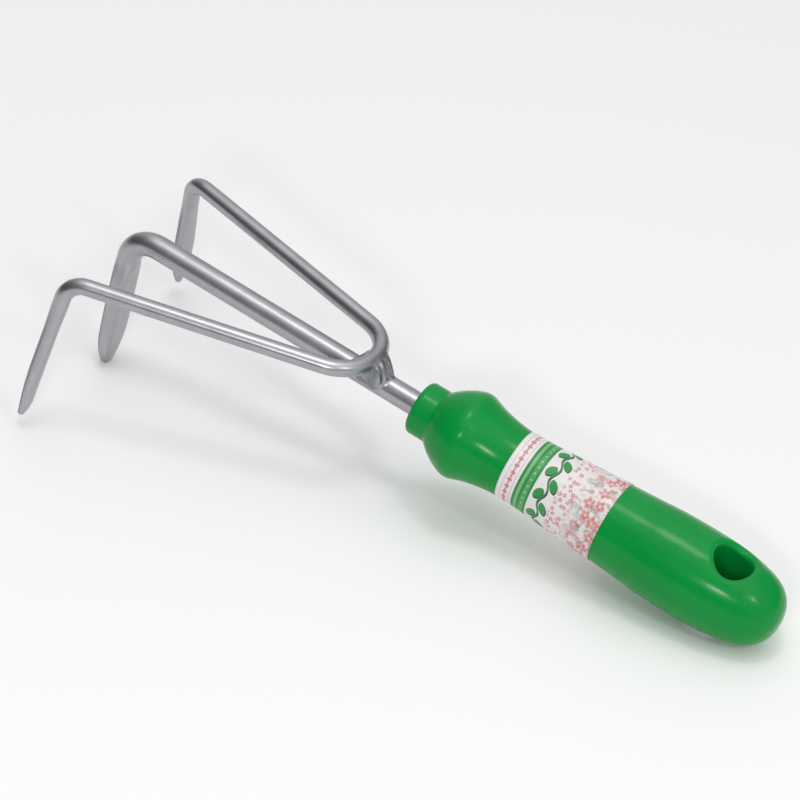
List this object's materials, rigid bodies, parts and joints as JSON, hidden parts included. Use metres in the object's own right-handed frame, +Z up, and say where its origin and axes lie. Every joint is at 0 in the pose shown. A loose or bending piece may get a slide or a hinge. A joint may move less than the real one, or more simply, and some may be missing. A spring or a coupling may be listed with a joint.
{
  "type": "hand cultivator",
  "caption": "Hand cultivator: a bent steel bar and a welded side bow end in forged tines bent down, on a moulded plastic handle with a hanging hole.",
  "frame": {"origin": "centre of the bounding box's bottom face, on the table the tool lies on", "axes": "+X along the tool towards the handle's end, -X towards the tines, +Y across the tool, +Z up; the tool is symmetric about Y = 0 and rests on the centre tine's tip and the handle's underside"},
  "size_m": [0.2514, 0.0962, 0.0576],
  "materials": {
    "bar_steel": "satin drawn bar, lightly plated, with faint lengthwise grinding lines on the forged tines",
    "weld_metal": "as welded, smoothly rippled and bright",
    "handle_plastic": "glossy moulded plastic",
    "label_film": "printed film, satin"
  },
  "bodies": {
    "root": {"centre_tine_shank": "bar_steel", "side_tine_bow": "bar_steel", "rear_weld_fillet": "weld_metal", "front_weld_fillet": "weld_metal", "handle_grip": "handle_plastic", "label_wrap": "label_film"}
  },
  "joints": []
}
